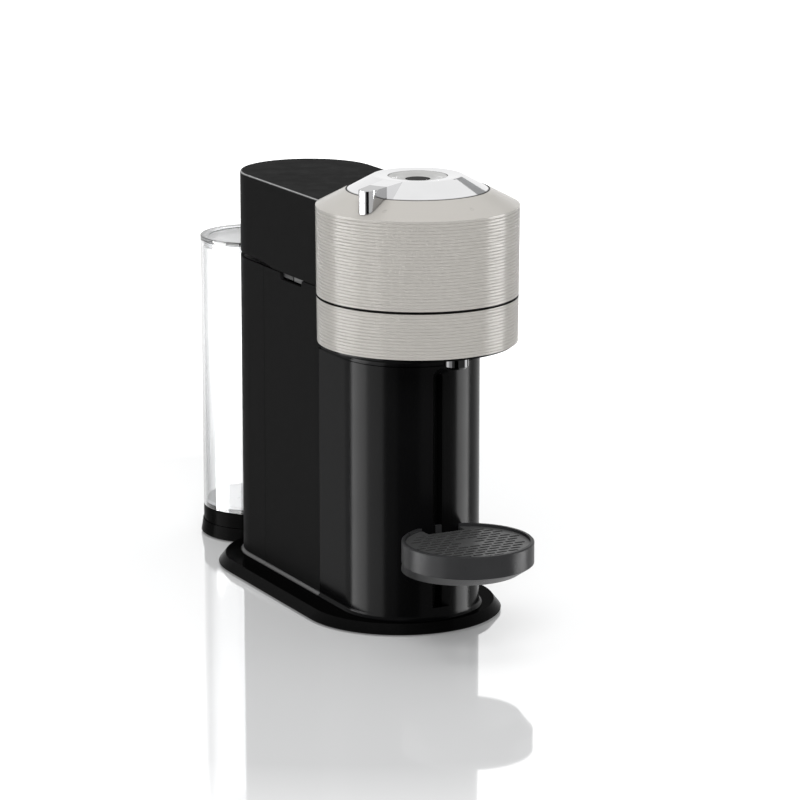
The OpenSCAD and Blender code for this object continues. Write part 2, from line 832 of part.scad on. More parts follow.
module tank_stand() {
    r_a = r_tank + stand_flare;
    r_b = r_tank + 0.6;
    z_hi = z_tank - gap;
    color([0.03, 0.03, 0.032]) difference() {
        translate([0, y_tank, 0]) difference() {
            rotate_extrude() polygon([
                [0, foot_h], [r_a - 0.8, foot_h], [r_a, foot_h + 0.8], [r_b, z_hi], [0, z_hi],
            ]);
            difference() {
                post(r_b - 3, 0, z_hi - 3);
                post(17, 0, z_hi);
                translate([0, r_tank - 18, 0]) post(foot_w / 2 + 2.5, 0, z_hi);
            }
            translate([0, r_tank - 18, 0]) post(foot_w / 2 + gap, 0, foot_h + 2);
            post(2.2, 2, z_hi + 1);
            tube(9, 5.6, z_hi - 2, z_hi + 1);
        }
        slot_solid(r_base + gap, y_base_f, y_base_r, 0, base_top + 0.2);
        slot_solid(r_body + flange_out + gap, y_bf, y_br, 0, base_top + 4);
        translate([-2.2, 0, 1.3]) cube([4.4, y_tank, 4.6]);
    }
}

module tank_seal() {
    color([0.15, 0.15, 0.15]) translate([0, y_tank, 0])
        tube(9 - 0.2, 5.6 + 0.2, z_tank - gap - 1.8, z_tank - 0.05);
}

module tank_ring() {
    color([0.03, 0.03, 0.035]) translate([0, y_tank, 0]) difference() {
        post(r_tank, z_tank, z_tank + tank_ring_h);
        post(r_tank - 2.4, z_tank + 2.6, z_tank + tank_ring_h + 1);
        post(8, z_tank - 1, z_tank + 4);
    }
}

module tank_wall() {
    z_a = z_tank + tank_ring_h + gap;
    z_b = tank_top - lid_t - gap;
    color([0.8, 0.85, 0.87, 0.35]) translate([0, y_tank, 0]) {
        tube(r_tank, r_tank - tank_t, z_a, z_b);
        // bead round the mouth
        tube(r_tank + lid_lip, r_tank - tank_t / 2, z_b - bead_h, z_b);
    }
}

module tank_floor() {
    z_a = z_tank_floor;
    color([0.75, 0.76, 0.77]) translate([0, y_tank, 0]) difference() {
        union() {
            post(r_tank - tank_t - gap, z_a, z_a + 2.2);
            tube(7.4, 5, z_tank + 2.4, z_a + 1);
        }
        post(5, z_tank, z_a + 3);
        for (a = [0:60:300]) rotate([0, 0, a]) translate([16, 0, 0])
            post(1.2, z_a + 1.4, z_a + 3);
    }
}

module tank_lid() {
    r_o = r_tank + lid_lip;
    r_plug = r_tank - tank_t - gap;
    edge = 0.5;
    recess = 1;
    z_low = tank_top - lid_t;
    color([0.82, 0.86, 0.88, 0.35]) translate([0, y_tank, 0]) difference() {
        union() {
            rotate_extrude() polygon([
                [0, z_low], [r_o, z_low], [r_o, tank_top - edge], [r_o - edge, tank_top],
                [0, tank_top],
            ]);
            // plug ring that drops into the mouth of the tank
            tube(r_plug, r_plug - tank_t, z_low - lid_plug_h, z_low + eps);
        }
        post(r_tank - 6, tank_top - recess, tank_top + 1);
    }
}

module tank_valve() {
    z_a = z_tank_floor;
    color([0.9, 0.9, 0.9]) translate([0, y_tank, 0]) {
        post(1.6, z_tank + 0.9, z_a + 4.4);
        post(4.2, z_a + 2.6, z_a + 4.6);
    }
}

module valve_spring() {
    z_a = z_tank_floor;
    color([0.75, 0.75, 0.77]) translate([0, y_tank, 0])
        tube(3.4, 2.6, z_a - 7, z_a + 2.4);
}

module head_shell() {
    slope = shoulder_h / (r_head - r_throat);
    color([0.7, 0.68, 0.65]) rotate_extrude() polygon(concat(
        [[r_shell_in, z_shell]],
        ring_line(z_shell, z_shoulder, r_low, r_head),
        [
            [r_throat, z_dome], [r_throat, z_dome - wall],
            [r_shell_in + ring_taper, z_dome - wall - slope * (r_shell_in - r_throat)],
        ]
    ));
}

module cover_profile(r, z_low, z_high, round) {
    square_at(0, z_low, r, z_high - round);
    square_at(0, z_low, r - round, z_high);
    translate([r - round, z_high - round]) circle(round);
}

module head_cover() {
    color([0.035, 0.035, 0.038]) difference() {
        union() {
            difference() {
                slot_sweep(y_bf, y_br) cover_profile(r_body, z_band - 0.1, z_cover, cover_round);
                slot_solid(r_in, y_bf, y_br, z_band - 1, z_cover - wall + 0.2);
            }
            // ears that the hinge pin goes through
            for (s = [-1, 1]) ear(s);
            // ribs under the top
            for (y = [y_cheek + 40, y_cheek + 75]) block([-r_in, y, z_cover - 8],
                [r_in, y + 2, z_cover - wall + 1]);
        }
        post(r_head + gap, z_shell - 5, z_cover + 5);
        side_plate(-r_base, r_base) polygon([
            [y_seam + 56, z_band - 2], [y_seam + 96, body_top + cover_lift],
            [y_rear + 5, body_top + cover_lift], [y_rear + 5, z_band - 2],
        ]);
        translate([-arm_x - arm_t / 2, y_hinge, z_hinge]) rotate([0, 90, 0])
            cylinder(r = hinge_r + run_fit, h = 2 * arm_x + arm_t);
    }
}

module ear(s) {
    x_mid = s * (arm_x - gap - ear_t / 2);
    side_plate(x_mid - ear_t / 2, x_mid + ear_t / 2) {
        translate([y_hinge, z_hinge]) circle(ear_r + 1);
        square_at(y_hinge - ear_r - 1, z_hinge, y_hinge + ear_r + 1, z_cover - wall + 1);
    }
}

module lug_block(s, add) {
    y_a = y_seam + 29;
    x_out = r_in + 0.4;
    side_plate(min(s * (x_out - 3 - add), s * (x_out + add)),
        max(s * (x_out - 3 - add), s * (x_out + add)))
        polygon([
            [y_a + 1 - add, body_top - 3.6 - add], [y_a + 15 + add, body_top - 3.6 - add],
            [y_a + 17 + add, z_band + 8], [y_a - add, z_band + 8],
        ]);
}

module side_lugs() {
    x_a = r_in - gap - 2.4;
    color([0.5, 0.5, 0.5]) for (s = [-1, 1])
        side_plate(min(s * x_a, s * (x_a + 2.4)), max(s * x_a, s * (x_a + 2.4)))
            polygon([
                [y_seam + 30, body_top - 3.4], [y_seam + 44, body_top - 3.4],
                [y_seam + 46, z_band + 10], [y_seam + 29, z_band + 10],
            ]);
}

module head_floor() {
    color([0.1, 0.1, 0.105]) difference() {
        tube(r_shell_in - gap, cup_rim_r + 1, z_shell + 0.9, z_shell + 3.9);
        for (a = [30:60:330]) rotate([0, 0, a]) translate([r_shell_in - 9, 0, 0])
            post(1.7, z_shell, z_shell + 5);
    }
}

// plate across the shell that carries the turning clamp
module clamp_carrier() {
    z_a = z_shell + 26;
    color([0.16, 0.16, 0.17]) difference() {
        union() {
            post(r_shell_in - gap, z_a, z_a + 3);
            post(clamp_axle_r + 6, z_a - 5, z_a + 6);
            for (a = [30:60:330]) rotate([0, 0, a]) translate([r_shell_in - 9, 0, 0])
                post(4, z_shell + 3.9 + gap, z_a + 1);
        }
        post(clamp_axle_r + run_fit, z_a - 6, z_a + 7);
    }
}

module clamp_bell() {
    z_a = z_cup_rim + 0.9;
    z_b = z_shell + 26;
    color([0.8, 0.8, 0.82]) difference() {
        union() {
            rotate_extrude() polygon([
                [0, z_a + 3], [pod_r - 8, z_a + 3], [pod_r - 4, z_a], [cup_rim_r - 1, z_a],
                [cup_rim_r - 1, z_a + 2.4], [pod_r - 2, z_a + 3.4], [pod_r - 10, z_b - 8],
                [0, z_b - 8],
            ]);
            post(clamp_axle_r, z_b - 9, z_b + 7);
            post(clamp_axle_r + 3, z_b + 6.3, z_b + 8);
        }
        post(1.3, z_a, z_b + 9);
    }
}

module pierce_needle() {
    z_a = z_cup_rim + 0.9 + 3;
    color([0.85, 0.85, 0.86]) difference() {
        union() {
            translate([0, 0, z_a - 11]) cylinder(r1 = 0.9, r2 = 1.6, h = 4);
            post(1.6, z_a - 7 - eps, z_a - 1.2);
            post(4, z_a - 1.2 - eps, z_a - 0.2);
        }
        post(0.6, z_a - 12, z_a);
    }
}

// plate under the shoulder that the dome turns on
module lever_carrier() {
    r_fit = r_shell_in - gap;
    color([0.16, 0.16, 0.17]) difference() {
        tube(r_fit, button_w / 2 + 4.2, z_hub + 3.6, z_hub + 6.6);
        for (a = [0:45:315]) rotate([0, 0, a]) translate([r_fit - 16, 0, 0])
            post(6, z_hub + 3, z_hub + 8);
    }
}

module button_tower() {
    z_a = z_shell + 26 + 3 + gap;
    r_t = button_w / 2 - 6;
    color([0.2, 0.2, 0.21]) union() {
        difference() {
            post(r_t, z_a, z_dome - 3);
            post(r_t - 2, z_a - 1, z_dome - 5);
            post(3.4, z_a, z_dome);
        }
        tube(r_t + 3, r_t - 1, z_a, z_a + 2.4);
    }
}

module button_spring() {
    color([0.75, 0.75, 0.77]) tube(5.6, 4.8, z_dome - 3 + 0.2, z_dome + 2.8);
}

module dome_profile() {
    r_b = button_w / 2 + gap;
    r_f = dome_flat_w / 2;
    t = 2;
    z_rim = z_top - 0.8;
    polygon([
        [r_b, z_rim], [r_f - 2, z_top - 0.1], [r_f, z_top - 0.2], [r_f + 0.8, z_top - 0.5],
        [r_dome, z_dome - 0.1], [r_dome, z_dome - wall],
        [r_dome - 3, z_dome - wall + 0.9], [r_f, z_top - 2.6], [r_b + t, z_rim - 2],
        [r_b + t, z_hub + 3.2], [r_b + 12, z_hub + 3.2], [r_b + 12, z_hub], [r_b, z_hub],
    ]);
}

module lever_outline() {
    r_tip = lever_w / 2;
    root_w = lever_w + lever_flare;
    translate([0, -lever_reach + r_tip]) circle(r_tip);
    polygon([
        [-r_tip, -lever_reach + r_tip], [r_tip, -lever_reach + r_tip],
        [root_w / 2, -dome_flat_w / 2 + 3], [-root_w / 2, -dome_flat_w / 2 + 3],
    ]);
}

module lever_dome() {
    lift = 0.7;
    slope = shoulder_h / (r_head - r_throat);
    z_tip = z_top - 2.4;
    color([0.85, 0.85, 0.86]) union() {
        rotate_extrude() dome_profile();
        rotate([0, 0, -lever_angle]) difference() {
            intersection() {
                translate([0, 0, z_shoulder - 2])
                    linear_extrude(height = z_top - z_shoulder + 4) lever_outline();
                side_plate(-lever_w - lever_flare, lever_w + lever_flare) polygon([
                    [-dome_flat_w / 2 + 2, z_top - 0.2], [-lever_reach - 1, z_tip],
                    [-lever_reach - 1, z_shoulder - 2], [-dome_flat_w / 2 + 2, z_shoulder - 2],
                ]);
            }
            // underside keeps clear of the shoulder
            difference() {
                translate([0, 0, z_shoulder + lift - slope * 4])
                    cylinder(r1 = r_head + 4, r2 = 0, h = slope * (r_head + 4));
                post(r_dome, z_shoulder - 3, z_top + 10);
            }
            post(r_dome - eps, z_shoulder - 3, z_dome - wall + 1.2);

        }
    }
}

module button_ring() {
    r = button_w / 2;
    z_rim = z_top - 1;
    color([0.8, 0.8, 0.81]) rotate_extrude() polygon([
        [3.6, z_rim - 4.2], [r - 3, z_rim - 4.2], [r - 3, z_hub + 6], [r - 0.2, z_hub + 6],
        [r, z_rim - 0.4], [r - 0.5, z_rim], [lens_w / 2 + gap, z_rim - 2],
        [lens_w / 2 + gap, z_rim - 3], [3.6, z_rim - 3],
    ]);
}

module button_lens() {
    z_rim = z_top - 1;
    color([0.02, 0.02, 0.02]) union() {
        post(lens_w / 2, z_rim - 2.9, z_rim - 1.9);
        post(3.4 - gap, z_dome - 4.4, z_rim - 2.8);
    }
}

module cup_support() {
    z_a = support_z;
    z_b = support_z + support_h;
    tongue_w = throat_w - 2 * gap;
    z_br = z_a - bracket_h;
    color([0.14, 0.14, 0.145]) difference() {
        union() {
            translate([0, y_sup, 0]) {
                post(r_sup, z_a, z_b - 0.8);
                translate([0, 0, z_b - 0.8 - eps]) cylinder(r1 = r_sup, r2 = r_sup - 0.8, h = 0.8);
            }
            hull() {
                translate([0, y_sup, 0]) post(r_sup - 0.6, z_a - 0.6, z_a + eps);
                translate([0, y_sup + 9.2, 0]) post(bracket_w / 2, z_br, z_br + 1);
            }
            block([-tongue_w / 2, y_sup, z_br + 1], [tongue_w / 2, y_col + slot_d - 1.4, z_b - 2]);
        }
        translate([0, y_sup, 0]) post(r_sup - rim_t, z_a + 1.8, z_b + 1);
        // hollow that follows the column, left out where the tongue passes
        difference() {
            slot_solid(r_body + gap, y_bf, y_br, z_br - 2, z_b + 2);
            block([-tongue_w / 2, y_sup, z_br], [tongue_w / 2, y_col + slot_d, z_b]);
        }
    }
}

// wall along the column side of what lies in the support
module column_cut(add, z_low, z_high) {
    slot_solid(r_body + add, y_bf, y_br, z_low, z_high);
}

module drip_tray() {
    z_a = support_z + 1.8 + gap;
    z_b = support_z + support_h - 4.2;
    r = r_sup - rim_t - gap;
    color([0.05, 0.05, 0.055]) difference() {
        translate([0, y_sup, 0]) post(r, z_a, z_b);
        difference() {
            translate([0, y_sup, 0]) post(r - 2, z_a + 2, z_b + 1);
            column_cut(gap + 3.4, z_a, z_b + 2);
            block([-slot_w - 2, y_col - 10, z_a], [slot_w + 2, y_col + 20, z_b + 2]);
        }
        column_cut(gap + 1.4, z_a - 1, z_b + 1);
        block([-slot_w, y_col - 8, z_a - 1], [slot_w, y_col + 20, z_b + 1]);
    }
}

module drip_grid() {
    z_a = support_z + support_h - 4.2 + gap;
    z_b = z_a + 2;
    r = r_sup - rim_t - gap;
    hole_r = 1.3;
    pitch_x = 9;
    pitch_y = 5.2;
    color([0.04, 0.04, 0.045]) difference() {
        translate([0, y_sup, 0]) post(r, z_a, z_b);
        column_cut(gap + 1.4, z_a - 1, z_b + 1);
        block([-slot_w, y_col - 8, z_a - 1], [slot_w, y_col + 20, z_b + 1]);
        for (j = [-7:7]) for (i = [-4:4])
            let (x = (i + (abs(j) % 2) / 2) * pitch_x)
            let (y = j * pitch_y)
            if (norm([abs(x) + 4, y]) < r - 2 && norm([x, y]) > 7
                && norm([abs(x) + 4, y + y_sup - y_bf]) > r_body + 5
                && (abs(x) > slot_w + 5 || y + y_sup < y_col - 12))
                translate([x, y_sup + y, z_a - 1]) slot_hole(hole_r, 2.6, z_b - z_a + 2);
    }
}

module slot_hole(r, half, h) {
    for (s = [-1, 1]) translate([s * half, 0, 0]) cylinder(r = r, h = h, $fn = 24);
    translate([-half, -r, 0]) cube([2 * half, 2 * r, h]);
}

placed() base_plate();
placed() foot(0);  // foot_front
placed() foot(1);  // foot_left
placed() foot(2);  // foot_right
placed() foot(3);  // foot_rear_left
placed() foot(4);  // foot_rear_right
placed() foot_tank();
placed() base_screws();
placed() chassis();
placed() column_bin();
placed() side_panel(-1);  // side_panel_left
placed() side_panel(1);  // side_panel_right
placed() rear_shell();
placed() body_deck();
placed() lower_band();
placed() collar();
placed() spout();
placed() collector();
placed() rim_plate();
placed() hinge_bracket();
placed() hinge_pin();
placed() cord_gland();
placed() rotor();
placed() rotor_bearing();
placed() drive_belt();
placed() motor();
placed() motor_pulley();
placed() pump();
placed() pump_mount_low();
placed() pump_mount_top();
placed() heater_block();
placed() flow_meter();
placed() tube_inlet();
placed() tube_pump();
placed() tube_heater();
placed() control_board();
placed() tank_stand();
placed() tank_seal();
placed() head_shell();
placed() head_cover();
placed() head_floor();
placed() side_lugs();
placed() clamp_carrier();
placed() clamp_bell();
placed() pierce_needle();
placed() lever_carrier();
placed() button_tower();
placed() button_spring();
placed() lever_dome();
placed() button_ring();
placed() button_lens();
placed() cup_support();
placed() drip_tray();
placed() drip_grid();
placed() tank_wall();
placed() tank_ring();
placed() tank_floor();
placed() tank_lid();
placed() tank_valve();
placed() valve_spring();
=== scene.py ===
import json
import math
import bmesh
import bpy
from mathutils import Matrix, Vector


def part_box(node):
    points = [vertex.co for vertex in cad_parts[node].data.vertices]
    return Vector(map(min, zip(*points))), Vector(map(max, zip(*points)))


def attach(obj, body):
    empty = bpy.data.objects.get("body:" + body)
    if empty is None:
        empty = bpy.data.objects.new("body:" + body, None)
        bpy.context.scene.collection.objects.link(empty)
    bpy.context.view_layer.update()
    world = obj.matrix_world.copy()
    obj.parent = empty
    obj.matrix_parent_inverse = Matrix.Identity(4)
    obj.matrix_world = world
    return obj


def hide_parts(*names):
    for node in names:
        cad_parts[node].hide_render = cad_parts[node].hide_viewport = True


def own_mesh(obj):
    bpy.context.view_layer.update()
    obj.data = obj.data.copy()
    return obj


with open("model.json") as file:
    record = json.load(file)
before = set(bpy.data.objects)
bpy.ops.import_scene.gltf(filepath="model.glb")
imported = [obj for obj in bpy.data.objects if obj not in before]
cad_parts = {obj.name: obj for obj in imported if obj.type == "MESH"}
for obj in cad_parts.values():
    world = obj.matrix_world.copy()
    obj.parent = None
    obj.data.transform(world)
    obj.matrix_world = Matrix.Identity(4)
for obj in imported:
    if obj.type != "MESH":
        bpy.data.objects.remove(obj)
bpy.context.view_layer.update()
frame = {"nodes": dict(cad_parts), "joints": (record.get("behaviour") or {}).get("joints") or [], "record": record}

NODES = frame["nodes"]
JOINTS = {joint["name"]: joint for joint in frame["joints"]}
SLOT_OF = {s["node"]: s["material_slot"] for s in frame["record"]["subparts"]}
MM = 0.001

# ---------------------------------------------------------------- sizes and places
# the camera, matched to the photograph
LENS = 163.22                                  # in millimetres, as is the sensor
SENSOR = 36.0
CAMERA_AT = (-1.12507, -2.25527, 0.72572)
CAMERA_LOOK = (0.44525, 0.86602, -0.22752)
FARTHEST_SEEN = 50.0

# the head and the dome in it
HEAD_Y = JOINTS["lever_turn"]["pos_m"][1]      # the head's upright axis
HEAD_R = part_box("head_shell")[1].x
DOME_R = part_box("lever_dome")[1].x
DOME_GAP = 0.7 * MM
SHOULDER_IN = DOME_R + DOME_GAP                # radius where the shoulder starts, at its top
SHOULDER_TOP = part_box("head_shell")[1].z
SHOULDER_DROP = 10.9 * MM                      # how far it falls from there to the head's wall
SHOULDER_SLOPE = SHOULDER_DROP / (HEAD_R - SHOULDER_IN)

# where painted shade darkens the head's grey, and how softly
LIP = 0.1 * MM
LIP_FADE = 0.3 * MM
GAP_LIPS = (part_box("lower_band")[1].z - LIP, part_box("head_shell")[0].z + LIP)
THROAT = SHOULDER_IN + 0.3 * MM                # radius out to which shade is painted on the lip round the dome
THROAT_FADE = 0.4 * MM
CAP_EDGE = (DOME_R - 0.7 * MM, DOME_R - 0.2 * MM)   # radii over which painted shade darkens the dome's plating at its rim

# rounded edges
PANEL_ROUND = 0.8 * MM
EDGE_ROUND = 0.35 * MM
ROUND_STEPS = 3
SHARP_FROM = math.radians(40.0)

# the coil that stands for the tube under the button, a little inside it
SPRING_LOW, SPRING_HIGH = (corner[2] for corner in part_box("button_spring"))
WIRE_R = 0.35 * MM
COIL_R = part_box("button_spring")[1].x - WIRE_R - 0.05 * MM
COIL_TURNS = 4

# the two padlock marks on the shoulder
MARK_RADIUS = 60.0 * MM                        # how far they lie from the head's axis
MARK_RISE = 0.05 * MM
MARK_LINE = 0.28 * MM
LOCK_HALF = 1.1 * MM                           # half the width of the lock's body
LOCK_LOW, LOCK_HIGH = -1.3 * MM, 0.2 * MM
BOW_R = 0.75 * MM
BOW_SWING = 0.5 * MM                           # how far an open lock's bow stands aside
BOW_STEPS = 8
OPEN_AT = math.radians(-49.0)                  # from the front, toward +X
SHUT_AT = math.radians(9.4)

# light
ROOM_LIGHT = 0.30
ROOM_COLOUR = (0.95, 0.975, 1.0, 1.0)
WHITE = (1.0, 1.0, 1.0, 1.0)
AIM = (0.0, -0.05, 0.16)
SIDE_AIM = (0.0, -0.05, 0.2)
BOX_AWAY = 1.5                                 # how far a soft box stands from the middle
BOX_TALL = 1.6
BOX_LEVEL = -0.35                              # height of its middle

# floor
FLOOR_HALF = 6.0
FLOOR_MIRROR = 0.45                            # share of the floor that is mirror
GLOW_NEAR, GLOW_FAR = 0.155, 1.0               # its glow under the object, and out in the white
FADE_FROM, FADE_TO = 0.4, 0.9                  # distances between which the one becomes the other


# ---------------------------------------------------------------- camera
def make_camera():
    """Long lens, 27 degrees round to the machine's left, looking 13 degrees down."""
    data = bpy.data.cameras.new("camera")
    data.sensor_width = SENSOR
    data.lens = LENS
    data.clip_end = FARTHEST_SEEN
    cam = bpy.data.objects.new("camera", data)
    bpy.context.scene.collection.objects.link(cam)
    cam.location = CAMERA_AT
    cam.rotation_euler = Vector(CAMERA_LOOK).to_track_quat("-Z", "Y").to_euler()
    bpy.context.scene.camera = cam


make_camera()


# ---------------------------------------------------------------- node helpers
NOISE_LOW, NOISE_HIGH = 0.3, 0.7               # most of a noise node's values lie between these


def combined(tree, operation, first, second):
    """Two sockets of a node tree joined by a Math node."""
    node = tree.nodes.new("ShaderNodeMath")
    node.operation = operation
    tree.links.new(first, node.inputs[0])
    tree.links.new(second, node.inputs[1])
    return node.outputs[0]


def seen_plainly(tree):
    """1 for what the eye sees, shiny parts mirror and clear parts let through, 0 for the rest."""
    path = tree.nodes.new("ShaderNodeLightPath").outputs
    seen = path["Is Camera Ray"]
    for other in ("Is Glossy Ray", "Is Transmission Ray"):
        seen = combined(tree, "MAXIMUM", seen, path[other])
    return seen


def rgb(colour):
    """A colour as it is, or a grey level as a colour."""
    return (colour,) * 3 if isinstance(colour, float) else colour


def scaled(colour, k):
    return tuple(min(1.0, c * k) for c in rgb(colour))


class Tree:
    """A material's nodes, made one after another."""

    def __init__(self, name):
        self.mat = bpy.data.materials.new(name)
        self.mat.use_nodes = True
        self.tree = self.mat.node_tree
        self.nodes = self.tree.nodes
        self.links = self.tree.links
        self.nodes.clear()
        self.out = self.nodes.new("ShaderNodeOutputMaterial")
        self.bsdf = self.nodes.new("ShaderNodeBsdfPrincipled")
        self.links.new(self.bsdf.outputs[0], self.out.inputs["Surface"])
        self.where = self.nodes.new("ShaderNodeTexCoord").outputs["Object"]

    def set(self, **values):
        for name, value in values.items():
            self.bsdf.inputs[name.replace("_", " ")].default_value = value

    def to(self, socket, name):
        self.links.new(socket, self.bsdf.inputs[name])

    def add(self, kind, **inputs):
        node = self.nodes.new(kind)
        self.feed(node, inputs)
        return node

    def feed(self, node, inputs):
        """Links or sets a node's inputs by name."""
        for name, value in inputs.items():
            socket = node.inputs[name.replace("_", " ")]
            if isinstance(value, bpy.types.NodeSocket):
                self.links.new(value, socket)
            else:
                socket.default_value = value

    def vector(self, operation, first, second=(0.0, 0.0, 0.0)):
        node = self.add("ShaderNodeVectorMath", Vector=first)
        node.operation = operation
        node.inputs[1].default_value = second
        return node.outputs

    def height(self, of):
        return self.add("ShaderNodeSeparateXYZ", Vector=of).outputs["Z"]

    def from_axis(self):
        """How far a point lies from the head's upright axis."""
        across = self.vector("SUBTRACT", self.where, (0.0, HEAD_Y, 0.0))["Vector"]
        level = self.vector("MULTIPLY", across, (1.0, 1.0, 0.0))["Vector"]
        return self.vector("LENGTH", level)["Value"]

    def noise(self, size, detail, rough=0.55, where=None):
        """Noise whose features are about size metres wide."""
        return self.add("ShaderNodeTexNoise", Vector=where or self.where, Scale=1.0 / size,
                        Detail=detail, Roughness=rough).outputs["Fac"]

    def span(self, value, low, high, start=NOISE_LOW, end=NOISE_HIGH):
        """Goes from low to high while value goes from start to end."""
        node = self.nodes.new("ShaderNodeMapRange")
        node.clamp = True
        self.feed(node, {"Value": value, "From Min": start, "From Max": end, "To Min": low,
                         "To Max": high})
        return node.outputs["Result"]

    def ramp(self, value, *stops):
        """A colour, or a grey level, by value."""
        node = self.add("ShaderNodeValToRGB", Fac=value)
        line = node.color_ramp
        while len(line.elements) < len(stops):
            line.elements.new(0.5)
        for element, (at, colour) in zip(line.elements, stops):
            element.position = at
            element.color = (*rgb(colour), 1.0)
        return node.outputs["Color"]

    def mottled(self, size, low, high, detail):
        """A tone that wanders between two, in patches of about size metres."""
        return self.ramp(self.noise(size, detail), (NOISE_LOW, low), (NOISE_HIGH, high))

    def mixed(self, share, first, second, how="MIX"):
        node = self.nodes.new("ShaderNodeMix")
        node.data_type = "RGBA"
        node.blend_type = how
        self.feed(node, {"Factor": share, "A": first, "B": second})
        return node.outputs["Result"]

    def uneven_gloss(self, rough, low, high, pattern):
        """Roughness that wanders between two shares of its own value."""
        self.to(self.span(pattern, low * rough, high * rough), "Roughness")

    def relief(self, pattern, deep):
        """Raises and sinks the surface by a pattern."""
        bump = self.add("ShaderNodeBump", Strength=1.0, Distance=deep, Height=pattern)
        self.to(bump.outputs["Normal"], "Normal")

    def fine_grain(self, size, deep):
        self.relief(self.noise(size, detail=2.0, rough=0.6), deep)


# ---------------------------------------------------------------- kinds of finish
EDGE_BAND = (0.5, 0.6, 0.78, 0.86)             # lean where the painted edge highlight starts, is full, fades, ends
GLOSS_BAND = (0.2, 0.4, 0.85, 0.985)           # lean where gloss leaves the wall's and is the top's
WALL_GLOSS = 0.004
TOP_LEAN = 0.97
EDGE_HIGHLIGHT_FADE = 20 * MM                            # height over which the painted edge highlight sets in
ACRYLIC_IOR = 1.49
ALONG_WALL = ((0.34, 1.0), (0.48, 0.82), (0.64, 0.42))   # painted shade on a clear wall by the eye's slant


def moulded(name, colour, rough, grain=0.4 * MM, relief=0.01 * MM, drift=0.06, specular=0.5,
            patches=30 * MM):
    """Moulded plastic: fine surface grain, slow drift of tone, slightly uneven gloss."""
    t = Tree(name)
    t.to(t.mottled(patches, scaled(colour, 1.0 - drift), scaled(colour, 1.0 + drift), detail=2.0),
         "Base Color")
    t.uneven_gloss(rough, 0.88, 1.12, t.noise(0.4 * patches, detail=4.0))
    t.fine_grain(grain, relief)
    t.set(Specular_IOR_Level=specular)
    return t.mat


def edged(name, side, top, edge, rough, top_gloss, lean_gloss=0.6, above=0.0):
    """Fine matt plastic with a painted highlight on its rounded upper edges. Tone and gloss go by how far
    the surface leans: upright wall, rounded edge, level top, and the tone is painted light and shade by
    facing. Below a height no edge gets the painted highlight."""
    t = Tree(name)
    lean = t.height(t.nodes.new("ShaderNodeTexCoord").outputs["Normal"])
    high_up = t.span(t.height(t.where), 0.0, 1.0, above, above + EDGE_HIGHLIGHT_FADE)
    on_edge = t.ramp(lean, *zip(EDGE_BAND, (0.0, 1.0, 1.0, 0.0)))
    facing_tone = t.ramp(lean, (EDGE_BAND[0], side), (TOP_LEAN, top))
    edge_highlight = t.mottled(5 * MM, scaled(edge, 0.75), edge, detail=3.0)
    t.to(t.mixed(combined(t.tree, "MULTIPLY", on_edge, high_up), facing_tone, edge_highlight), "Base Color")
    t.to(t.ramp(lean, *zip(GLOSS_BAND, (WALL_GLOSS, lean_gloss, lean_gloss, top_gloss))),
         "Specular IOR Level")
    t.uneven_gloss(rough, 0.9, 1.1, t.noise(12 * MM, detail=4.0))
    t.fine_grain(0.5 * MM, 0.012 * MM)
    return t.mat


def ringed(name, colour, rough, metal, specular, dark):
    """The head's satin grey. The lips of the gap between its two rings, and the lip round the dome,
    carry painted shade."""
    t = Tree(name)
    t.set(Specular_IOR_Level=specular, Metallic=metal)
    level = t.height(t.where)
    over_low = t.span(level, 0.0, 1.0, GAP_LIPS[0] - LIP_FADE, GAP_LIPS[0])
    under_high = t.span(level, 1.0, 0.0, GAP_LIPS[1], GAP_LIPS[1] + LIP_FADE)
    in_gap = combined(t.tree, "MULTIPLY", over_low, under_high)
    in_throat = t.span(t.from_axis(), 1.0, 0.0, THROAT, THROAT + THROAT_FADE)
    shade = combined(t.tree, "MAXIMUM", in_gap, in_throat)
    even = t.mottled(30 * MM, scaled(colour, 0.99), colour, detail=2.0)
    t.to(t.mixed(shade, even, (*dark, 1.0)), "Base Color")
    t.uneven_gloss(rough, 0.95, 1.05, t.noise(50 * MM, detail=1.0))
    t.fine_grain(0.9 * MM, 0.0002 * MM)
    return t.mat


def plated(name, colour, rough, edge=None):
    """Bright plating: a mirror with the faint unevenness of the moulding under it, and painted shade
    that darkens it near the edge of a round cap."""
    t = Tree(name)
    t.set(Metallic=1.0)
    tone = t.mottled(20 * MM, scaled(colour, 0.97), colour, detail=2.0)
    if edge is not None:
        edge_shade = t.span(t.from_axis(), 0.0, 1.0, *edge)
        tone = t.mixed(edge_shade, tone, (*scaled(colour, 0.5), 1.0))
    t.to(tone, "Base Color")
    t.uneven_gloss(rough, 0.7, 1.4, t.noise(6 * MM, detail=5.0))
    t.relief(t.noise(12 * MM, detail=1.0), 0.02 * MM)
    return t.mat


def turned(name, colour, rough, pitch=0.4 * MM, relief=0.004 * MM):
    """Metal with fine marks that run round the upright axis."""
    t = Tree(name)
    t.set(Metallic=1.0)
    drawn_out = t.add("ShaderNodeMapping", Vector=t.where, Scale=(0.02, 0.02, 1.0))
    lines = t.noise(pitch, detail=2.0, where=drawn_out.outputs["Vector"])
    t.to(t.mottled(10 * MM, scaled(colour, 0.9), colour, detail=3.0), "Base Color")
    t.uneven_gloss(rough, 0.8, 1.25, lines)
    t.relief(lines, relief)
    return t.mat


def clear(name, colour, rough, edge, specular):
    """Clear moulded plastic with faint flow waves, and painted shade where the eye looks along the wall."""
    t = Tree(name)
    t.set(Transmission_Weight=1.0, IOR=ACRYLIC_IOR, Specular_IOR_Level=specular)
    slant = t.add("ShaderNodeLayerWeight", Blend=0.5).outputs["Facing"]
    flow = t.mottled(50 * MM, scaled(colour, 0.985), colour, detail=1.0)
    shade = t.ramp(slant, *ALONG_WALL, (0.82, edge + 0.1), (1.0, edge))
    t.to(t.mixed(1.0, flow, shade, how="MULTIPLY"), "Base Color")
    t.uneven_gloss(rough, 0.8, 1.2, t.noise(20 * MM, detail=2.0))
    return t.mat


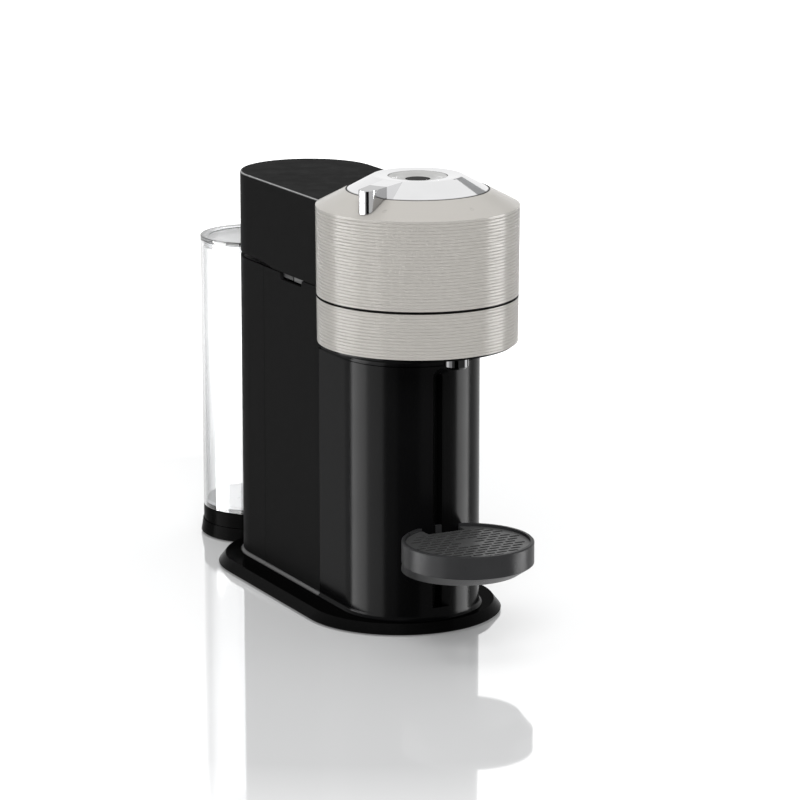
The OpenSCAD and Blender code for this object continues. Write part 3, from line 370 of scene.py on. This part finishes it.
# ---------------------------------------------------------------- materials
FINISHES = {
    "gloss_black": (moulded, dict(colour=(0.0035, 0.0035, 0.0037), rough=0.19, specular=0.03,
                                  grain=0.9 * MM, relief=0.0008 * MM, patches=50 * MM)),
    # side and top are tones painted by which way the surface faces, edge is a painted highlight on rounded edges
    "matte_black": (edged, dict(side=0.0105, top=0.007, edge=0.36, rough=0.4, top_gloss=0.002,
                                above=150 * MM)),
    "foot_black": (edged, dict(side=0.0035, top=0.002, edge=0.008, rough=0.22, top_gloss=0.001,
                               lean_gloss=0.01)),
    "inner_black": (moulded, dict(colour=(0.012, 0.012, 0.0125), rough=0.5, specular=0.3,
                                  grain=0.6 * MM, relief=0.02 * MM)),
    # dark is the painted shade in the gap between the rings and round the dome
    "warm_grey": (ringed, dict(colour=(0.455, 0.435, 0.406), rough=0.2, metal=0.01,
                               specular=0.085, dark=(0.03, 0.028, 0.025))),
    "rubber_black": (moulded, dict(colour=0.016, rough=0.75, relief=0.03 * MM)),
    "steel": (turned, dict(colour=(0.62, 0.62, 0.63), rough=0.3)),
    "chrome": (plated, dict(colour=(0.022, 0.022, 0.0225), rough=0.03)),
    "chrome_plated": (plated, dict(colour=(0.82, 0.82, 0.825), rough=0.07, edge=CAP_EDGE)),
    "satin_silver": (turned, dict(colour=(0.55, 0.55, 0.54), rough=0.34)),
    "lens_black": (moulded, dict(colour=0.004, rough=0.1, specular=0.002, grain=0.5 * MM,
                                 relief=0.001 * MM)),
    "motor_metal": (turned, dict(colour=(0.4, 0.4, 0.41), rough=0.35)),
    "pump_body": (moulded, dict(colour=(0.55, 0.53, 0.45), rough=0.5, grain=0.6 * MM,
                                relief=0.02 * MM)),
    "heater_metal": (turned, dict(colour=(0.6, 0.61, 0.62), rough=0.5, pitch=1.2 * MM,
                                  relief=0.04 * MM)),
    "inner_white": (moulded, dict(colour=(0.75, 0.75, 0.72), rough=0.45, grain=0.6 * MM,
                                  relief=0.02 * MM)),
    "board_green": (moulded, dict(colour=(0.02, 0.11, 0.05), rough=0.35, grain=1.0 * MM,
                                  relief=0.02 * MM, drift=0.2)),
    "lug_grey": (moulded, dict(colour=0.03, rough=0.4, grain=0.5 * MM, relief=0.02 * MM)),
    "clamp_grey": (moulded, dict(colour=(0.22, 0.22, 0.23), rough=0.4, grain=0.5 * MM,
                                 relief=0.02 * MM)),
    "cup_metal": (turned, dict(colour=(0.6, 0.6, 0.61), rough=0.25)),
    "pulley_brass": (turned, dict(colour=(0.68, 0.52, 0.25), rough=0.3)),
    "dark_grey": (moulded, dict(colour=(0.033, 0.033, 0.034), rough=0.3, specular=0.045,
                                grain=0.5 * MM, relief=0.012 * MM)),
    "grid_black": (moulded, dict(colour=0.062, rough=0.4, specular=0.3, grain=0.5 * MM)),
    # edge is the tone of the painted shade where the eye looks along a clear wall
    "clear_tank": (clear, dict(colour=(0.975, 0.98, 0.985), rough=0.02, edge=0.2, specular=0.03)),
    "clear_lid": (clear, dict(colour=(0.58, 0.585, 0.59), rough=0.05, edge=0.25, specular=0.12)),
    "pale_grey": (moulded, dict(colour=(0.62, 0.63, 0.64), rough=0.35, grain=0.5 * MM)),
    "mark_grey": (moulded, dict(colour=(0.33, 0.318, 0.30), rough=0.4, grain=0.5 * MM,
                                relief=0.001 * MM)),
}
MATERIALS = {name: make(name, **look) for name, (make, look) in FINISHES.items()}
FOOT_NODES = ("base_plate", "tank_stand", "tank_ring")    # duller than the rest of their slots


def give_materials():
    """Each node gets its slot's material, apart from the parts of the foot."""
    for name, node in NODES.items():
        node.data.materials.clear()
        finish = "foot_black" if name in FOOT_NODES else SLOT_OF[name]
        node.data.materials.append(MATERIALS[finish])


def round_edges(width, *names):
    """Edges that catch the light get a small radius."""
    for name in names:
        rounded = NODES[name].modifiers.new("edges", "BEVEL")
        rounded.width = width
        rounded.segments = ROUND_STEPS
        rounded.limit_method = "ANGLE"
        rounded.angle_limit = SHARP_FROM


give_materials()
round_edges(PANEL_ROUND, "side_panel_left", "side_panel_right")
round_edges(EDGE_ROUND, "rear_shell", "base_plate", "cup_support", "lever_dome", "button_ring",
            "spout", "column_bin")


# ---------------------------------------------------------------- the spring under the button
def make_piece(name, shape, material):
    """Turns a bmesh into an object with its faces outward."""
    bmesh.ops.recalc_face_normals(shape, faces=shape.faces)
    mesh = bpy.data.meshes.new(name)
    shape.to_mesh(mesh)
    shape.free()
    mesh.materials.append(MATERIALS[material])
    piece = bpy.data.objects.new(name, mesh)
    bpy.context.scene.collection.objects.link(piece)
    return piece


def make_spring(name):
    """A coil of round wire standing on the head's axis."""
    per_turn, sides = 24, 8
    steps = COIL_TURNS * per_turn
    rise = SPRING_HIGH - SPRING_LOW - 2 * WIRE_R
    shape = bmesh.new()
    rings = []
    for k in range(steps + 1):
        turn = 2 * math.pi * k / per_turn
        level = SPRING_LOW + WIRE_R + rise * k / steps
        ring = []
        for j in range(sides):
            around = 2 * math.pi * j / sides
            out = COIL_R + WIRE_R * math.cos(around)
            ring.append(shape.verts.new((out * math.cos(turn), HEAD_Y + out * math.sin(turn),
                                         level + WIRE_R * math.sin(around))))
        rings.append(ring)
    for a, b in zip(rings, rings[1:]):
        for j in range(sides):
            shape.faces.new((a[j], b[j], b[(j + 1) % sides], a[(j + 1) % sides]))
    shape.faces.new(rings[0])
    shape.faces.new(list(reversed(rings[-1])))
    return make_piece(name, shape, "steel")


spring = make_spring("button_coil")
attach(spring, "head")
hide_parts("button_spring")
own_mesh(spring)


# ---------------------------------------------------------------- marks on the shoulder
def shoulder_point(turn, radius):
    """A point on the head's shoulder, turned from the front toward +X."""
    drop = (radius - SHOULDER_IN) * SHOULDER_SLOPE
    return Vector((radius * math.sin(turn), HEAD_Y - radius * math.cos(turn),
                   SHOULDER_TOP - drop))


def shoulder_outward(turn):
    """The way the slope of the shoulder faces there."""
    return Vector((math.sin(turn) * SHOULDER_SLOPE, -math.cos(turn) * SHOULDER_SLOPE,
                   1.0)).normalized()


def bar(a, b):
    """The corners of a straight stroke from a to b."""
    along = (b - a).normalized()
    side = Vector((-along.y, along.x)) * MARK_LINE / 2
    return (a - side, b - side, b + side, a + side)


def lock_strokes(opened):
    """A padlock outline on flat paper: a body and a bow, shut or swung open."""
    aside = BOW_SWING if opened else 0.0
    body = [Vector((-LOCK_HALF, LOCK_LOW)), Vector((LOCK_HALF, LOCK_LOW)),
            Vector((LOCK_HALF, LOCK_HIGH)), Vector((-LOCK_HALF, LOCK_HIGH))]
    bow = [Vector((aside + BOW_R * math.cos(math.pi * k / BOW_STEPS),
                   LOCK_HIGH + BOW_R * math.sin(math.pi * k / BOW_STEPS)))
           for k in range(BOW_STEPS + 1)]
    strokes = [bar(a, b) for a, b in zip(body, body[1:] + body[:1])]
    strokes += [bar(a, b) for a, b in zip(bow, bow[1:])]
    return strokes


def make_mark(name, turn, opened):
    """A small padlock in thin relief on the slope."""
    rise = shoulder_outward(turn) * MARK_RISE
    shape = bmesh.new()
    for stroke in lock_strokes(opened):
        feet = [shoulder_point(turn + p.x / MARK_RADIUS, MARK_RADIUS - p.y) for p in stroke]
        under = [shape.verts.new(foot - rise) for foot in feet]
        over = [shape.verts.new(foot + rise) for foot in feet]
        shape.faces.new(under)
        shape.faces.new(over)
        for k in range(4):
            after = (k + 1) % 4
            shape.faces.new((under[k], under[after], over[after], over[k]))
    mark = make_piece(name, shape, "mark_grey")
    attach(mark, "head")


make_mark("mark_open", OPEN_AT, True)
make_mark("mark_shut", SHUT_AT, False)


# ---------------------------------------------------------------- light and floor
def area_light(name, at, aim, wide, tall, power):
    """A rectangular lamp that lights the object and isn't seen, also not in shiny parts."""
    data = bpy.data.lights.new(name, "AREA")
    data.shape = "RECTANGLE"
    data.size = wide
    data.size_y = tall
    data.energy = power
    lamp = bpy.data.objects.new(name, data)
    lamp.location = at
    lamp.rotation_euler = (Vector(aim) - Vector(at)).to_track_quat("-Z", "Y").to_euler()
    lamp.visible_camera = False
    lamp.visible_glossy = False
    bpy.context.scene.collection.objects.link(lamp)
    return lamp


def soft_box(name, turn, spread, strength):
    """A tall soft box seen only in shiny parts. It stands round the compass at turn degrees, is
    spread degrees wide, and reaches below the table, where upright walls mirror it."""
    wide = 2 * BOX_AWAY * math.tan(math.radians(spread / 2))
    a = math.radians(turn)
    at = (BOX_AWAY * math.cos(a), BOX_AWAY * math.sin(a), BOX_LEVEL)
    power = strength * math.pi * wide * BOX_TALL
    lamp = area_light(name, at, (0.0, 0.0, BOX_LEVEL), wide, BOX_TALL, power)
    lamp.visible_glossy = True
    lamp.visible_diffuse = False
    lamp.visible_transmission = False


def make_world():
    """White to the eye, in shiny parts and through clear ones; an even dim room for the rest."""
    world = bpy.data.worlds.new("studio")
    bpy.context.scene.world = world
    world.use_nodes = True
    tree = world.node_tree
    tree.nodes.clear()
    last = tree.nodes.new("ShaderNodeMixShader")
    tree.links.new(seen_plainly(tree), last.inputs[0])
    for place, colour, strength in ((1, ROOM_COLOUR, ROOM_LIGHT), (2, WHITE, 1.0)):
        light = tree.nodes.new("ShaderNodeBackground")
        light.inputs["Color"].default_value = colour
        light.inputs["Strength"].default_value = strength
        tree.links.new(light.outputs[0], last.inputs[place])
    out = tree.nodes.new("ShaderNodeOutputWorld")
    tree.links.new(last.outputs[0], out.inputs["Surface"])


def make_sheet(name, wide, tall, material):
    """A flat rectangle about its own middle."""
    mesh = bpy.data.meshes.new(name)
    x, y = wide / 2, tall / 2
    mesh.from_pydata([(-x, -y, 0), (x, -y, 0), (x, y, 0), (-x, y, 0)], [], [(0, 1, 2, 3)])
    mesh.materials.append(material)
    sheet = bpy.data.objects.new(name, mesh)
    bpy.context.scene.collection.objects.link(sheet)
    return sheet


def make_card(name, at, wide, tall, tone):
    """A cloth-covered card that faces the machine and is seen only in shiny parts."""
    t = Tree(name + "_cloth")
    t.set(Roughness=0.9, Specular_IOR_Level=0.0)
    t.to(t.mottled(20 * MM, scaled(tone, 0.8), tone, detail=3.0), "Base Color")
    card = make_sheet(name, wide, tall, t.mat)
    card.location = at
    inward = Vector((0.0, 0.0, at[2])) - Vector(at)
    card.rotation_euler = inward.to_track_quat("Z", "Y").to_euler()
    for kind in ("camera", "diffuse", "transmission", "shadow"):
        setattr(card, "visible_" + kind, False)


def floor_material():
    """Pale and half mirror. A glow that only the eye, shiny and clear parts see takes it out into
    white, and is weak near the object, where its shadow lies."""
    t = Tree("floor_white")
    t.set(Roughness=0.6, Specular_IOR_Level=0.0)
    t.to(t.mottled(400 * MM, 0.80, 0.82, detail=2.0), "Base Color")
    mirror = t.add("ShaderNodeBsdfGlossy", Color=WHITE, Roughness=0.045)
    table = t.add("ShaderNodeMixShader", Fac=FLOOR_MIRROR)
    t.links.new(t.bsdf.outputs[0], table.inputs[1])
    t.links.new(mirror.outputs[0], table.inputs[2])
    away = t.vector("LENGTH", t.where)["Value"]
    fade = t.span(away, GLOW_NEAR, GLOW_FAR, FADE_FROM, FADE_TO)
    strength = combined(t.tree, "MULTIPLY", seen_plainly(t.tree), fade)
    glow = t.add("ShaderNodeEmission", Strength=strength)
    both = t.nodes.new("ShaderNodeAddShader")
    t.links.new(table.outputs[0], both.inputs[0])
    t.links.new(glow.outputs[0], both.inputs[1])
    t.links.new(both.outputs[0], t.out.inputs["Surface"])
    return t.mat


def make_floor():
    """A wide glossy table, not mirrored in the object."""
    floor = make_sheet("floor", 2 * FLOOR_HALF, 2 * FLOOR_HALF, floor_material())
    floor.visible_glossy = False


make_world()
make_floor()
area_light("soft_left", at=(-1.0, 0.28, 0.2), aim=SIDE_AIM, wide=0.8, tall=0.4, power=0.3)
area_light("soft_right", at=(0.85, -0.6, 0.2), aim=SIDE_AIM, wide=0.35, tall=0.4, power=0.5)
soft_box("box_left", turn=158.0, spread=34.0, strength=17.0)
soft_box("box_left_skirt", turn=190.0, spread=30.0, strength=7.0)
soft_box("box_right", turn=-22.0, spread=28.0, strength=17.0)
make_card("card_front", at=(-1.26, -2.53, -0.87), wide=1.8, tall=1.7, tone=0.02)
make_card("card_right", at=(1.45, 1.25, 1.25), wide=0.8, tall=0.6, tone=0.6)
area_light("soft_front", at=(-0.7, -1.5, 1.7), aim=AIM, wide=1.2, tall=1.0, power=28.0)
area_light("soft_top", at=(0.1, 0.25, 1.5), aim=AIM, wide=1.4, tall=1.2, power=12.0)

bpy.context.scene.view_settings.view_transform = "Standard"
